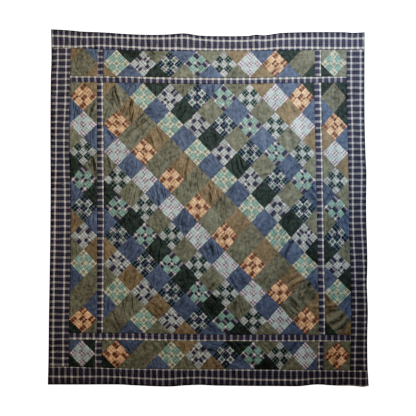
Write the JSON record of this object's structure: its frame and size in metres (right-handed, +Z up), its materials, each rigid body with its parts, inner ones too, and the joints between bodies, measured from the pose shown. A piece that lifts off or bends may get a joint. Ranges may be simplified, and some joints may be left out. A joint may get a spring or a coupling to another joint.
{
  "type": "patchwork quilt",
  "caption": "Large rectangular patchwork quilt laid out flat, with nine-patch blocks on point in a centre field and a ring of panels, plaid sashing and a wide plaid border.",
  "frame": {"origin": "centre of the flat underside, on the surface that the quilt lies on", "axes": "+Z up out of the patchwork face, +Y along the quilt towards its head end, +X across it to the right"},
  "size_m": [2.1816, 2.4315, 0.011],
  "materials": {
    "patchwork_cotton": "matt printed and woven cotton patches",
    "plaid_cotton": "matt woven cotton plaid"
  },
  "bodies": {
    "root": {"centre_field": "patchwork_cotton", "head_panel": "patchwork_cotton", "foot_panel": "patchwork_cotton", "left_panel": "patchwork_cotton", "right_panel": "patchwork_cotton", "corner_head_left": "patchwork_cotton", "corner_head_right": "patchwork_cotton", "corner_foot_left": "patchwork_cotton", "corner_foot_right": "patchwork_cotton", "sash_head": "plaid_cotton", "sash_foot": "plaid_cotton", "sash_left": "plaid_cotton", "sash_right": "plaid_cotton", "short_sash_head_left": "plaid_cotton", "short_sash_head_right": "plaid_cotton", "short_sash_foot_left": "plaid_cotton", "short_sash_foot_right": "plaid_cotton", "border_head": "plaid_cotton", "border_foot": "plaid_cotton", "border_left": "plaid_cotton", "border_right": "plaid_cotton"}
  },
  "joints": []
}
